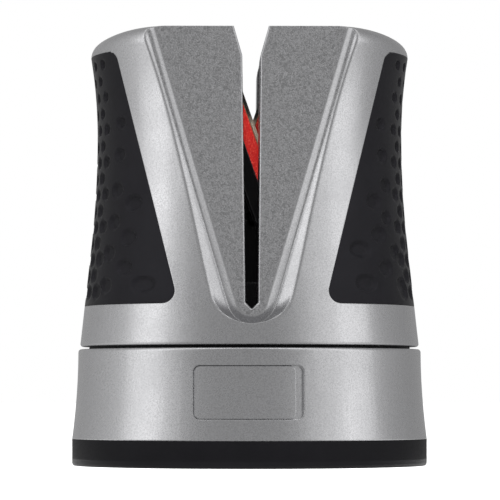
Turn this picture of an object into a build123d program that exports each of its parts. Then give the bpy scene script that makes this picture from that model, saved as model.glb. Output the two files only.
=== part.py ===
from build123d import *
import math
import os

# Pull through knife sharpener, in millimetres. The origin is on the table under the middle of
# the round base and +Z is up. The slot for the blade runs along Y and the front face looks
# towards -Y. A round cast tower stands on a round cast base with a rubber foot. In the tower two
# sprung arms cross in an X, and the blade is drawn along Y through the V above their crossing.

# Driving dimensions

# Overruns, clearances and the tolerance for finding a face or an edge
overrun = 20.0
pick_tolerance = 0.005
running_gap = 0.05
fitting_gap = 0.1
moving_gap = 0.3

# Rubber foot ring
foot_height = 7.8
foot_floor = 3.0
foot_lap = 9.5
foot_edge_round = 0.9

# Base housing
base_height = 26.2
base_step = 0.5
base_flare_radius = 193.0
base_edge_round = 0.9
base_wall = 6.2
spigot_wall = 3.5
deck_thickness = 4.0
deck_seat_width = 2.0
seam_gap = 0.7
seam_land_inset = 2.7
register_height = 2.2
register_width = 2.5

# Badge recess and the bare badge in it, on the front of the base
recess_width = 31.1
recess_height = 15.2
recess_depth = 1.1
recess_corner = 1.9
recess_shift = -0.95
recess_rise = 5.95
badge_width = 28.7
badge_margin = 0.15
badge_thickness = 0.6

# Ballast, bottom plate and the pillars that tie the plate to the deck
plate_thickness = 2.0
ballast_thickness = 10.0
ballast_margin = 1.0
pillar_inset = 11.0
pillar_radius = 4.5
pillar_shoulder_radius = 6.5
pillar_shoulder_height = 4.0
pillar_stub_radius = 2.5
pillar_count = 4

# Screws
screw_radius = 2.0
screw_head_radius = 3.5
screw_head_height = 2.2
screw_socket_radius = 1.4
screw_socket_depth = 1.3
screw_length = 14.0
small_screw_radius = 1.1
small_head_radius = 2.0
small_head_height = 1.2
small_socket_radius = 0.8
small_socket_depth = 0.7
small_screw_length = 5.6

# Tower: a turned outline with a waist, a flat top that falls away at both ends and a round rim
tower_height = 91.0
tower_foot_round = 0.8
seam_angle = 70.0
waist_radius = 44.72
waist_rise = 61.3
lower_arc_radius = 290.0
straight_rise = 29.3
upper_arc_radius = 290.0 / 2
crown_flat_half = 28.0
crown_fall_radius = 56.0
crown_round = 4.0
body_wall = 6.5
roof_thickness = 7.7
tower_boss_radius = 5.0
tower_boss_height = 17.3
tower_boss_inset = 3.2
tower_boss_angle = 36.9
tower_thread_depth = 11.3
foot_bore_height = 5.0

# V shaped pocket and the raised panel in it, on the front and the back of the tower
ledge_inset = 10.2
ledge_lean = 6.5
panel_proud = 0.75
panel_lean = 6.77
panel_wall = 3.9
pocket_tip_rise = 5.9
pocket_tip_radius = 6.7
pocket_spread = 16.4
mouth_out = 3.6
mouth_tip_rise = 6.0
mouth_tip_radius = 12.5
mouth_spread = 17.0
shoulder_draft = 62.0
panel_tip_rise = 8.1
panel_tip_radius = 4.5
panel_spread = 16.4
panel_edge_round = 1.2

# Slot for the blade
slot_mouth_half = 5.0
slot_mouth_depth = 8.5
slot_throat_half = 2.6
slot_foot_half = 1.75
slot_foot_rise = 11.9
slot_tip_drop = 1.7
slot_edge_bevel = 0.4
web_half = 6.5
window_half = 14.6

# Side grips, each with three studs that plug through the tower's wall
grip_thickness = 2.8
grip_foot_rise = 11.8
grip_top_drop = 2.9
grip_foot_half = 20.7
grip_top_reach = 7.73
grip_foot_corner = 3.6
grip_top_corner = 3.0
grip_edge_round = 0.3
stud_radius = 2.5
stud_spacing = 22.0
stud_count = 3

# Arm carrier: a plate with two cheeks that hold the pivot pins
carrier_shift = 0.8
carrier_plate = 3.5
carrier_half_length = 34.5
cheek_thickness = 3.0
cheek_half_width = 22.5
cheek_over_pivot = 7.5
carrier_screw_x = 30.2
carrier_screw_y = 6.5
pin_radius = 2.5
pin_overhang = 2.0
clip_thickness = 0.8
clip_radius = 4.6
clip_groove = 0.4
clip_open_angle = 80.0
washer_thickness = 1.0
washer_radius = 4.8
pad_height = 1.6
pad_width = 4.0
pad_sink = 0.8
divider_thickness = 1.2
divider_width = 7.2
divider_height = 33.8

# Arms
arm_lean = 19.5
arm_swing = 17.0
arm_thickness = 9.0
arm_side_gap = 1.0
pivot_reach = 57.0
edge_offset = 4.8
hub_radius = 6.2
hub_clearance = 1.3
bush_wall = 0.9
arm_head_gap = 3.0
abrasive_thickness = 0.95
abrasive_inset = 0.5
backing_thickness = 0.25
rail_depth = 3.4
rail_foot_reach = 21.0
rail_groove = 0.5
lever_depth = 5.1
lever_bevel = 0.7
heel_reach = 11.5
heel_depth = 3.6
rail_screw_first = 30.0
rail_screw_last = 62.0
peg_radius = 1.2
peg_length = 4.0

# Torsion springs round the pins
spring_wire = 1.1
spring_mean_radius = 4.4
spring_pitch = 1.62
spring_whole_turns = 4
spring_leg_lean = 48.0
spring_leg_length = 13.0
spring_tail_length = 9.5
ledge_width = 4.0

# Heights and radii that follow from the dimensions above
spigot_bottom = foot_floor
base_bottom = foot_height
base_top = base_bottom + base_height
tower_bottom = base_top + seam_gap
tower_top = tower_bottom + tower_height
ceiling_rise = tower_height - roof_thickness
ceiling_z = tower_bottom + ceiling_rise
ledge_depth = waist_radius - ledge_inset
panel_depth = ledge_depth + panel_proud


def flank_radius(rise):
    """Radius of the tower's outside at a height above the tower's bottom."""
    if rise >= waist_rise:
        return waist_radius + upper_arc_radius - math.sqrt(upper_arc_radius**2 - (rise - waist_rise) ** 2)
    bend = max(rise, straight_rise)
    radius = waist_radius + lower_arc_radius - math.sqrt(lower_arc_radius**2 - (bend - waist_rise) ** 2)
    arc_rise = waist_rise - straight_rise
    slope = arc_rise / math.sqrt(lower_arc_radius**2 - arc_rise**2)
    return radius + slope * (bend - rise)


def crown_rise(x):
    """Height of the tower's top edge above its bottom, where it falls away at both ends."""
    past = max(x - crown_flat_half, 0)
    return tower_height - crown_fall_radius + math.sqrt(crown_fall_radius**2 - past**2)


grip_top_rise = crown_rise(flank_radius(tower_height)) - grip_top_drop
grip_top_half = flank_radius(grip_top_rise) - grip_top_reach
base_top_radius = flank_radius(0) + base_step
base_bottom_radius = (
    base_top_radius + base_flare_radius - math.sqrt(base_flare_radius**2 - base_height**2)
)
base_cavity_radius = base_top_radius - base_wall
spigot_radius = base_cavity_radius + spigot_wall
land_radius = flank_radius(0) - seam_land_inset
tower_bore_radius = flank_radius(register_height) - body_wall
foot_radius = base_bottom_radius
foot_hole_radius = base_cavity_radius - foot_lap + spigot_wall
deck_bottom = base_top - deck_thickness
plate_top = spigot_bottom + plate_thickness
ballast_top = plate_top + ballast_thickness
pillar_circle = base_cavity_radius - pillar_inset
tower_boss_circle = flank_radius(0) - body_wall - tower_boss_inset

carrier_top = tower_bottom + carrier_plate
pivot_z = carrier_top + hub_clearance + hub_radius
lean = math.radians(arm_lean)
pivot_x = pivot_reach * math.sin(lean) - edge_offset * math.cos(lean)
arm_length = (ceiling_z - arm_head_gap - pivot_z - edge_offset * math.sin(lean)) / math.cos(lean)
arm_far_side = arm_side_gap + arm_thickness
cheek_inside = arm_far_side + washer_thickness + 2 * fitting_gap
cheek_outside = cheek_inside + cheek_thickness
spring_wire_radius = spring_wire / 2

carrier_place = Pos(carrier_shift, 0, 0)
half_turn = Rot(0, 0, 180)


def front_and_back(shape):
    """The shape and its mirror image behind the middle plane."""
    return shape + mirror(shape, Plane.XZ)


def both_arms(shape):
    """A piece of the front arm's side and the same piece turned round to the rear arm's side."""
    return [carrier_place * shape, carrier_place * half_turn * shape]


def disc(radius, low, high):
    """Upright cylinder between two heights."""
    return Pos(0, 0, low) * Cylinder(radius, high - low, align=(Align.CENTER, Align.CENTER, Align.MIN))


def ring_of_places(circle, count):
    """Places spaced evenly round the vertical axis."""
    return [Rot(0, 0, 360.0 * i / count) * Pos(circle, 0, 0) for i in range(count)]


def block(low, high):
    """Box between two corners."""
    size = [b - a for a, b in zip(low, high)]
    return Pos(*low) * Box(*size, align=(Align.MIN, Align.MIN, Align.MIN))


def corner_places():
    """Places of the four screws that join the base to the tower."""
    angle = math.radians(tower_boss_angle)
    x, y = tower_boss_circle * math.cos(angle), tower_boss_circle * math.sin(angle)
    return [Pos(sx * x, sy * y, 0) for sx in (-1, 1) for sy in (-1, 1)]


def carrier_places():
    """Places of the four screws that hold the arm carrier on the deck."""
    return [
        Pos(carrier_shift + sx * carrier_screw_x, sy * carrier_screw_y, 0)
        for sx in (-1, 1)
        for sy in (-1, 1)
    ]


def screw(radius, length, head_radius, head_height, socket_radius, socket_depth):
    """Pan head screw with its head's seat at the origin, the shank along +Z and a hex socket."""
    shank = disc(radius, 0, length)
    head = disc(head_radius, -head_height, 0)
    head = chamfer(head.edges().group_by(Axis.Z)[0], head_height / 4)
    socket = extrude(Pos(0, 0, -head_height) * RegularPolygon(socket_radius, 6), socket_depth)
    return shank + head - socket


def large_screw():
    return screw(
        screw_radius, screw_length, screw_head_radius,
        screw_head_height, screw_socket_radius, screw_socket_depth,
    )


def small_screw():
    return screw(
        small_screw_radius, small_screw_length, small_head_radius,
        small_head_height, small_socket_radius, small_socket_depth,
    )


# Foot ring


def foot_ring():
    outline = Polyline(
        (foot_hole_radius, 0, 0),
        (foot_radius, 0, 0),
        (foot_radius, 0, foot_height),
        (spigot_radius, 0, foot_height),
        (spigot_radius, 0, spigot_bottom),
        (foot_hole_radius, 0, spigot_bottom),
        close=True,
    )
    ring = revolve(make_face(outline), Axis.Z)
    lower_edge = ring.edges().filter_by(GeomType.CIRCLE).group_by(Axis.Z)[0].sort_by(SortBy.RADIUS)[-1]
    return fillet(lower_edge, foot_edge_round)


# Base housing


deck_radius = base_cavity_radius + deck_seat_width


def base_shell():
    """Outside of the base with its cavity, the seat for the deck and the spigot for the foot."""
    flare_centre_x = base_top_radius + base_flare_radius
    middle = base_height / 2
    flare_middle = flare_centre_x - math.sqrt(base_flare_radius**2 - middle**2)
    edges = [
        Line((deck_radius, 0, base_top), (base_top_radius, 0, base_top)),
        ThreePointArc(
            (base_top_radius, 0, base_top),
            (flare_middle, 0, base_top - middle),
            (base_bottom_radius, 0, base_bottom),
        ),
        Polyline(
            (base_bottom_radius, 0, base_bottom),
            (spigot_radius, 0, base_bottom),
            (spigot_radius, 0, spigot_bottom),
            (base_cavity_radius, 0, spigot_bottom),
            (base_cavity_radius, 0, deck_bottom),
            (deck_radius, 0, deck_bottom),
            (deck_radius, 0, base_top),
        ),
    ]
    shell = revolve(make_face(edges), Axis.Z)
    rim = shell.edges().filter_by(GeomType.CIRCLE).group_by(Axis.Z)[-1].sort_by(SortBy.RADIUS)[-1]
    return fillet(rim, base_edge_round)


def badge_region(width, height, corner, middle_x, out):
    """Straight-sided block through the front of the base, as tall and wide as the badge recess."""
    middle_z = base_bottom + recess_rise + recess_height / 2
    outline = Plane.XZ * Pos(middle_x, middle_z, 0) * RectangleRounded(width, height, corner)
    return extrude(outline, out)


def base_ring_outside(inset):
    """Everything further out than the base's flared side, drawn in by an inset."""
    bottom = base_bottom_radius - inset
    top = base_top_radius - inset
    middle_z = base_bottom + base_height / 2
    centre_x = base_top_radius + base_flare_radius
    middle = centre_x - inset - math.sqrt(base_flare_radius**2 - (base_height / 2) ** 2)
    far = base_bottom_radius + overrun
    edges = [
        Line((far, 0, base_bottom), (bottom, 0, base_bottom)),
        ThreePointArc((bottom, 0, base_bottom), (middle, 0, middle_z), (top, 0, base_top)),
        Line((top, 0, base_top), (far, 0, base_top)),
        Line((far, 0, base_top), (far, 0, base_bottom)),
    ]
    return revolve(make_face(edges), Axis.Z)


def base_housing():
    housing = base_shell()
    recess = badge_region(recess_width, recess_height, recess_corner, recess_shift, foot_radius + overrun)
    return housing - (recess & base_ring_outside(recess_depth))


def base_deck():
    """Disc seated in the base, with the land that leaves the seam and the tower's register ring."""
    register_outer = tower_bore_radius - fitting_gap
    register_top = tower_bottom + register_height
    deck = disc(deck_radius, deck_bottom, base_top) + disc(land_radius, base_top, tower_bottom)
    deck += disc(register_outer, tower_bottom, register_top)
    deck -= disc(register_outer - register_width, tower_bottom, register_top)
    for place in corner_places():
        deck -= place * disc(tower_boss_radius + moving_gap, tower_bottom, register_top)
        deck -= place * disc(screw_radius, 0, tower_bottom)
    for place in carrier_places():
        deck -= place * disc(screw_radius, 0, tower_bottom)
    for place in ring_of_places(pillar_circle, pillar_count):
        deck -= place * disc(pillar_stub_radius, 0, tower_bottom)
    return deck


def base_pillars():
    """Pillars that tie the bottom plate to the deck and hold the ballast down."""
    pillar = disc(pillar_radius, plate_top, deck_bottom) + disc(pillar_stub_radius, deck_bottom, tower_bottom)
    pillar += disc(pillar_shoulder_radius, ballast_top, ballast_top + pillar_shoulder_height)
    pillar -= disc(screw_radius, 0, spigot_bottom + screw_length)
    return [place * pillar for place in ring_of_places(pillar_circle, pillar_count)]


def front_badge():
    """Bare curved plate bedded in the recess, up against its left end."""
    left_end = recess_shift - recess_width / 2 + badge_margin
    height = recess_height - 2 * badge_margin
    corner = recess_corner - badge_margin
    plate = badge_region(badge_width, height, corner, left_end + badge_width / 2, foot_radius)
    plate &= base_ring_outside(recess_depth) - base_ring_outside(recess_depth - badge_thickness)
    return plate


def bottom_plate():
    plate = disc(base_cavity_radius - fitting_gap, spigot_bottom, plate_top)
    for place in ring_of_places(pillar_circle, pillar_count):
        plate -= place * disc(screw_radius, 0, tower_bottom)
    return plate


def ballast_weight():
    weight = disc(base_cavity_radius - ballast_margin, plate_top, ballast_top)
    for place in ring_of_places(pillar_circle, pillar_count):
        weight -= place * disc(pillar_radius + fitting_gap, 0, tower_bottom)
    return weight


def bottom_plate_screws():
    raised = Pos(0, 0, spigot_bottom) * large_screw()
    return [place * raised for place in ring_of_places(pillar_circle, pillar_count)]


def base_screws():
    return [place * Pos(0, 0, deck_bottom) * large_screw() for place in corner_places()]


def carrier_screws():
    turned = Pos(0, 0, carrier_top) * Rot(180, 0, 0) * large_screw()
    return [place * turned for place in carrier_places()]


# Tower housing and grips, made with the tower's bottom at height 0

tower_place = Pos(0, 0, tower_bottom)
seam_turn = Rot(0, 0, seam_angle)


def flank_edges(inset, low, high):
    """The tower's outside drawn in by an inset, as a line and two arcs from low to high."""

    def at(z):
        return (flank_radius(z) - inset, 0, z)

    def arc(start, end):
        return ThreePointArc(at(start), at((start + end) / 2), at(end))

    return [Line(at(low), at(straight_rise)), arc(straight_rise, waist_rise), arc(waist_rise, high)]


def flank_distance(point):
    """How far a point lies outside the tower's flank."""
    return math.hypot(point.X, point.Y) - flank_radius(point.Z)


def turned_flank(inset, low, high, foot_round=0.0):
    """Solid turned about the vertical axis inside the flank, with its bottom edge rounded."""
    if high <= straight_rise:
        edges = [Line((flank_radius(low) - inset, 0, low), (flank_radius(high) - inset, 0, high))]
    else:
        edges = flank_edges(inset, low, high)
    edges.append(Line((flank_radius(high) - inset, 0, high), (0, 0, high)))
    edges.append(Line((0, 0, high), (0, 0, low)))
    edges.append(Line((0, 0, low), (flank_radius(low) - inset, 0, low)))
    half = make_face(edges)
    if foot_round > 0:
        corner = half.vertices().group_by(Axis.Z)[0].sort_by(Axis.X)[-1]
        half = fillet(corner, foot_round)
    return revolve(half, Axis.Z)


def crown_prism():
    """Space under the top: flat in the middle and falling away in an arc at both ends."""
    reach = flank_radius(tower_height) + crown_round
    centre_z = tower_height - crown_fall_radius

    def fall_point(x):
        rise = math.sqrt(crown_fall_radius**2 - (x - crown_flat_half) ** 2)
        return (x, 0, centre_z + rise)

    end = fall_point(reach)
    middle = fall_point((reach + crown_flat_half) / 2)
    half = [
        Line((0, 0, tower_height), (crown_flat_half, 0, tower_height)),
        ThreePointArc((crown_flat_half, 0, tower_height), middle, end),
        Polyline(end, (reach, 0, -overrun), (0, 0, -overrun), (0, 0, tower_height)),
    ]
    face = make_face(half)
    solid = extrude(face, reach, both=True)
    return solid + mirror(solid, Plane.YZ)


def tower_outside():
    """Solid outer form of the tower, before the pockets, the slot and the grips are cut."""
    body = seam_turn * turned_flank(0, 0, tower_height, tower_foot_round) & crown_prism()

    def is_rim(edge):
        """Whether an edge is where the flank meets the crown."""
        lowest = min(vertex.Z for vertex in edge.vertices())
        return abs(flank_distance(edge @ 0.5)) < pick_tolerance and lowest > waist_rise + pick_tolerance

    return fillet(body.edges().filter_by(is_rim), crown_round)


def leaning_point(x, z, depth, lean_angle, out=0.0):
    """Point on a plane that leans back as it rises, depth in front of the axis at the top."""
    slope = math.tan(math.radians(lean_angle))
    return (x, -(depth + out + slope * (tower_height - z)), z)


def wedge_outline(tip_rise, tip_radius, spread, depth, lean_angle, out=0.0):
    """V shaped outline with a round tip, drawn on a leaning plane and open past the top."""
    side = math.radians(spread)
    tip_z = tip_rise
    centre_z = tip_z + tip_radius
    top_z = tower_height + overrun
    tangent_x = tip_radius * math.cos(side)
    tangent_z = centre_z - tip_radius * math.sin(side)
    top_x = tangent_x + (top_z - tangent_z) * math.tan(side)

    def at(x, z):
        return leaning_point(x, z, depth, lean_angle, out)

    return Wire(
        [
            ThreePointArc(at(-tangent_x, tangent_z), at(0, tip_z), at(tangent_x, tangent_z)),
            Line(at(tangent_x, tangent_z), at(top_x, top_z)),
            Line(at(top_x, top_z), at(-top_x, top_z)),
            Line(at(-top_x, top_z), at(-tangent_x, tangent_z)),
        ]
    )


def raised_panel():
    """Raised panel that widens from its flat face inwards, with its shoulder edge rounded."""
    outline = wedge_outline(panel_tip_rise, panel_tip_radius, panel_spread, panel_depth, panel_lean)
    face = Face(outline)
    inward = face if face.normal_at().Y > 0 else -face
    panel = extrude(inward, panel_wall + pocket_tip_radius, taper=-shoulder_draft)
    at_outline = panel.faces().filter_by(lambda f: f.distance_to(outline @ 0) < pick_tolerance)
    front = at_outline.sort_by(SortBy.AREA)[-1]
    face_edges = front.edges().filter_by(lambda e: e.center().Z < tower_height)
    return fillet(face_edges, panel_edge_round)


def pocket_cutter():
    """What is cut from the front of the tower to leave the V pocket with its raised panel."""
    floor = wedge_outline(pocket_tip_rise, pocket_tip_radius, pocket_spread, ledge_depth, ledge_lean)
    mouth = wedge_outline(
        mouth_tip_rise, mouth_tip_radius, mouth_spread, ledge_depth, ledge_lean, mouth_out
    )
    far = wedge_outline(
        mouth_tip_rise, mouth_tip_radius, mouth_spread, ledge_depth, ledge_lean, mouth_out + overrun
    )
    pocket = Solid.make_loft([floor, mouth], ruled=True) + Solid.make_loft([mouth, far], ruled=True)
    return pocket - raised_panel()


slot_flare = (slot_mouth_half - slot_throat_half) / slot_mouth_depth


def slot_cutter():
    """Space for the blade, from front to back."""
    foot_z = slot_foot_rise
    throat_z = tower_height - slot_mouth_depth
    above = tower_height + overrun
    half = [
        (0, foot_z - slot_tip_drop),
        (slot_foot_half, foot_z),
        (slot_throat_half, throat_z),
        (slot_mouth_half + slot_flare * overrun, above),
    ]
    points = [(x, 0, z) for x, z in half] + [(-x, 0, z) for x, z in reversed(half[1:])]
    return extrude(make_face(Polyline(*points, close=True)), foot_radius + overrun, both=True)


def grip_region(inset=0.0):
    """Space of the right grip seen from the front, right through from front to back."""
    slope = (grip_top_half - grip_foot_half) / (grip_top_rise - grip_foot_rise)
    shift = inset * math.hypot(1, slope)

    def edge_x(z):
        return grip_foot_half + shift + slope * (z - grip_foot_rise)

    far = foot_radius + overrun
    z_low, z_high = grip_foot_rise + inset, grip_top_rise - inset
    outline = Polyline(
        (edge_x(z_low), 0, z_low), (far, 0, z_low), (far, 0, z_high), (edge_x(z_high), 0, z_high), close=True
    )
    region = extrude(make_face(outline), far, both=True)
    inner = region.edges().filter_by(Axis.Y).filter_by(lambda e: e.center().X < far - overrun)
    inner = inner.sort_by(Axis.Z)
    region = fillet(inner[0], grip_foot_corner - inset)
    inner = region.edges().filter_by(Axis.Y).filter_by(lambda e: e.center().X < far - overrun)
    inner = inner.sort_by(Axis.Z)
    return fillet(inner[-1], grip_top_corner - inset)


def grip_studs(radius, inner_gap, outer_inset):
    """Rods along +X where the studs of the right grip go through the tower's wall."""
    first = (grip_foot_rise + grip_top_rise - stud_spacing * (stud_count - 1)) / 2
    rods = []
    for z in (first + stud_spacing * i for i in range(stud_count)):
        near = flank_radius(z) - body_wall + inner_gap
        far = flank_radius(z) - outer_inset
        rods.append(Pos(0, 0, z) * Rot(0, 90, 0) * disc(radius, near, far))
    return rods


def grip_recesses():
    """Spaces cut from the tower, one by one, for both grips and their studs."""
    right = [grip_region() - turned_flank(grip_thickness, -overrun, tower_height + overrun)]
    right += grip_studs(stud_radius, -stud_radius, grip_thickness / 2)
    return right + [mirror(space, Plane.YZ) for space in right]


def tower_cavity():
    """Hollow of the tower: two side chambers joined by a window for the arms."""
    cavity = turned_flank(body_wall, -overrun, ceiling_rise)
    wide = foot_radius + overrun
    low, high = -overrun, tower_height + overrun

    def inside(z, side):
        depth = ledge_depth - panel_wall + math.tan(math.radians(ledge_lean)) * (tower_height - z)
        return (0, side * depth, z)

    outline = Polyline(inside(low, -1), inside(low, 1), inside(high, 1), inside(high, -1), close=True)
    cavity &= extrude(make_face(outline), wide, both=True)
    web = block((-web_half, window_half, low), (web_half, wide, high))
    cavity -= front_and_back(web)
    return cavity + turned_flank(body_wall, low, foot_bore_height)


def slot_bevel():
    """Wedge that breaks the long edges where the blade slot cuts the front panel."""

    def slot_outline(margin, out):
        points = [
            (0, slot_foot_rise - slot_tip_drop - margin),
            (slot_foot_half + margin, slot_foot_rise - margin),
            (slot_throat_half + margin, tower_height - slot_mouth_depth),
            (slot_mouth_half + slot_flare * overrun + margin, tower_height + overrun),
        ]
        points += [(-x, z) for x, z in reversed(points[1:])]
        corners = [leaning_point(x, z, panel_depth, panel_lean, out) for x, z in points]
        return Wire([Line(here, there) for here, there in zip(corners, corners[1:] + corners[:1])])

    inner = slot_outline(0, -slot_edge_bevel)
    outer = slot_outline(2 * slot_edge_bevel, slot_edge_bevel)
    return Solid.make_loft([inner, outer], ruled=True)


def tower_housing():
    body = tower_outside()
    for space in grip_recesses():
        body -= space
    body -= front_and_back(pocket_cutter())
    body -= tower_cavity()
    body -= slot_cutter()
    body -= front_and_back(slot_bevel())
    for place in corner_places():
        body += place * disc(tower_boss_radius, 0, tower_boss_height)
        body -= place * disc(screw_radius, -overrun, tower_thread_depth)
    return tower_place * body


def grip():
    """Right grip, flush with the tower's outside, with its studs."""
    piece = turned_flank(0, 0, tower_height) & grip_region(fitting_gap)
    piece -= turned_flank(grip_thickness, -overrun, tower_height + overrun)

    def is_outer(edge):
        """Whether an edge bounds the outer side, apart from the joins of the flank's own arcs."""
        middle = edge @ 0.5
        from_join = min(abs(middle.Z - waist_rise), abs(middle.Z - straight_rise))
        return abs(flank_distance(middle)) < pick_tolerance < from_join

    piece = fillet(piece.edges().filter_by(is_outer), grip_edge_round)
    for rod in grip_studs(stud_radius, moving_gap, grip_thickness / 2):
        piece += rod
    return tower_place * piece


# Arm carrier, pins and what sits on them


def rear_cheek():
    """Upright plate with rounded shoulders over the pivots."""
    top = pivot_z + cheek_over_pivot
    plate = block((-cheek_half_width, cheek_inside, tower_bottom), (cheek_half_width, cheek_outside, top))
    corners = plate.edges().filter_by(Axis.Y).group_by(Axis.Z)[-1]
    return fillet(corners, cheek_over_pivot)


def pad_spot(x):
    """Low corner and high corner of a stop pad, in the front arm's lane."""
    middle_y = -(arm_side_gap + arm_thickness / 2)
    half = arm_thickness / 2 - moving_gap
    low = (x - pad_width / 2, middle_y - half, carrier_top - pad_sink)
    high = (x + pad_width / 2, middle_y + half, carrier_top + pad_height)
    return low, high


rest_pad_x = pivot_x + heel_reach - pad_width / 2
travel_pad_x = pivot_x - heel_reach + pad_width / 2
spring_ledge_top = pivot_z - spring_mean_radius - spring_wire_radius - fitting_gap


def arm_carrier():
    carrier_corner = (carrier_half_length, cheek_outside, carrier_top)
    carrier = block((-carrier_half_length, -cheek_outside, tower_bottom), carrier_corner)
    carrier += front_and_back(rear_cheek())
    half_width, half_thickness = divider_width / 2, divider_thickness / 2
    divider_top = carrier_top + divider_height
    carrier += block((-half_width, -half_thickness, tower_bottom), (half_width, half_thickness, divider_top))
    ledge_low = (pivot_x - spring_tail_length, arm_side_gap + moving_gap, tower_bottom)
    ledge_high = (pivot_x - spring_tail_length + ledge_width, cheek_inside, spring_ledge_top)
    ledge = block(ledge_low, ledge_high)
    carrier += ledge + half_turn * ledge
    for side in (-1, 1):
        carrier -= Pos(side * pivot_x, 0, pivot_z) * Rot(90, 0, 0) * Cylinder(pin_radius, foot_radius)
    for x in (rest_pad_x, travel_pad_x):
        hollow = block(*pad_spot(x))
        carrier -= hollow
        carrier -= half_turn * hollow
    carrier = carrier_place * carrier
    for place in carrier_places():
        carrier -= place * disc(screw_radius, 0, tower_top)
    return carrier


def stop_pads(x):
    return both_arms(block(*pad_spot(x)))


def along_pin(radius, from_y, to_y):
    """Cylinder on the front arm's pivot axis, between two places along Y."""
    rod = Cylinder(radius, to_y - from_y, align=(Align.CENTER, Align.CENTER, Align.MIN))
    return Pos(pivot_x, from_y, pivot_z) * Rot(-90, 0, 0) * rod


def pivot_pin():
    """Pin with a groove for a clip at each end, just outside the cheeks."""
    end = cheek_outside + clip_thickness + pin_overhang
    pin = along_pin(pin_radius, -end, end)
    pin = chamfer(pin.edges().filter_by(GeomType.CIRCLE), clip_groove)
    for side in (-1, 1):
        low = min(side * cheek_outside, side * (cheek_outside + clip_thickness))
        groove = along_pin(pin_radius + overrun, low, low + clip_thickness)
        groove -= along_pin(pin_radius - clip_groove, low, low + clip_thickness)
        pin -= groove
    return pin


def clip(side):
    """Open ring in the pin's groove, against the cheek."""
    low = min(side * cheek_outside, side * (cheek_outside + clip_thickness))
    ring = along_pin(clip_radius, low, low + clip_thickness)
    ring -= along_pin(pin_radius - clip_groove, low - overrun, low + overrun)
    half = math.radians(clip_open_angle / 2)
    reach = clip_radius * 2
    mouth = Polyline(
        (pivot_x, low - clip_thickness, pivot_z),
        (pivot_x + reach * math.sin(half), low - clip_thickness, pivot_z + reach * math.cos(half)),
        (pivot_x - reach * math.sin(half), low - clip_thickness, pivot_z + reach * math.cos(half)),
        close=True,
    )
    return ring - extrude(make_face(mouth), 2 * overrun, both=True)


def pin_clips():
    return [piece for side in (-1, 1) for piece in both_arms(clip(side))]


def pivot_washers():
    """Washers between the front arm's hub and the cheek, and between the hub and the spring."""
    outer_low = -(arm_far_side + fitting_gap + washer_thickness)
    inner_low = -arm_side_gap + fitting_gap
    washers = []
    for low in (outer_low, inner_low):
        washer = along_pin(washer_radius, low, low + washer_thickness)
        washers += both_arms(washer - along_pin(pin_radius, low - overrun, low + overrun))
    return washers


# Arms, made for the front arm on a plane with its X across the arm towards the working edge,
# its Y up along the arm and its Z towards the front

arm_plane = Plane(
    origin=(pivot_x, 0, pivot_z),
    x_dir=(math.cos(lean), 0, math.sin(lean)),
    z_dir=(0, -1, 0),
)
rail_near = edge_offset - abrasive_thickness - backing_thickness - rail_depth
rail_far = rail_near + rail_depth
backing_far = rail_far + backing_thickness
lever_near = rail_near - lever_depth
bush_radius = pin_radius + running_gap + bush_wall


def arm_slab(shape, near=arm_side_gap, far=arm_far_side):
    """Flat outline on the arm's plane made as thick as the arm."""
    return extrude(arm_plane.offset(near) * shape, far - near)


def arm_strip(from_x, to_x, from_y, to_y, near=arm_side_gap, far=arm_far_side):
    """Straight strip along the arm."""
    outline = Pos((from_x + to_x) / 2, (from_y + to_y) / 2) * Rectangle(to_x - from_x, to_y - from_y)
    return arm_slab(outline, near, far)


def heel(points):
    """Part of the lever that meets a stop pad, given in the row's X and Z from the pivot."""
    outline = Polyline(*[(pivot_x + x, 0, pivot_z + z) for x, z in points], close=True)
    block_of_heel = extrude(make_face(outline), arm_far_side, both=True)
    lane = block(
        (-foot_radius, -arm_far_side, 0), (foot_radius, -arm_side_gap, tower_top + overrun)
    )
    return block_of_heel & lane


def turned_point(x, z, angle_deg):
    """A point turned about the pivot, in the sense of the front arm's own swing."""
    angle = math.radians(angle_deg)
    return (x * math.cos(angle) - z * math.sin(angle), x * math.sin(angle) + z * math.cos(angle))


def arm_lever():
    stop_z = carrier_top + pad_height + fitting_gap - pivot_z
    hub = arm_slab(Circle(hub_radius))
    bar = arm_strip(lever_near, rail_near, 0, arm_length)

    def is_back(face):
        """Whether a face of the bar is its far side from the working edge."""
        return abs(arm_plane.to_local_coords(face.center()).X - lever_near) < pick_tolerance

    long_edges = bar.faces().filter_by(is_back).edges().filter_by(lambda e: e.length > arm_length / 2)
    bar = chamfer(long_edges, lever_bevel)
    seat = arm_strip(lever_near, edge_offset - abrasive_thickness, 0, rail_foot_reach - rail_groove)
    rest_heel = heel([(0, 0), (0, stop_z), (heel_reach, stop_z), (heel_reach, stop_z + heel_depth)])
    travel_points = [(0, stop_z), (-heel_reach, stop_z), (-heel_reach, stop_z + heel_depth)]
    travel_heel = heel([(0, 0)] + [turned_point(x, z, -arm_swing) for x, z in travel_points])
    peg_x, peg_z = peg_middle()
    peg = Pos(pivot_x + peg_x, -arm_side_gap, pivot_z + peg_z) * Rot(-90, 0, 0)
    peg *= Cylinder(peg_radius, peg_length, align=(Align.CENTER, Align.CENTER, Align.MIN))
    lever = hub + bar + seat + rest_heel + travel_heel + peg
    lever -= arm_slab(Circle(bush_radius), -overrun, overrun)
    for reach in (rail_screw_first, rail_screw_last):
        lever -= rail_screw_place(reach) * disc(small_screw_radius, -overrun, overrun)
    return lever


def rail_screw_place(reach):
    """Frame of a rail screw: seat on the lever's back, shank pointing to the rail."""
    middle = (arm_side_gap + arm_far_side) / 2
    return arm_plane.location * Pos(lever_near, reach, middle) * Rot(0, 90, 0)


def arm_rail():
    rail = arm_strip(rail_near, rail_far, rail_foot_reach, arm_length)
    for reach in (rail_screw_first, rail_screw_last):
        rail -= rail_screw_place(reach) * disc(small_screw_radius, 0, small_screw_length)
    return rail


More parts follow.
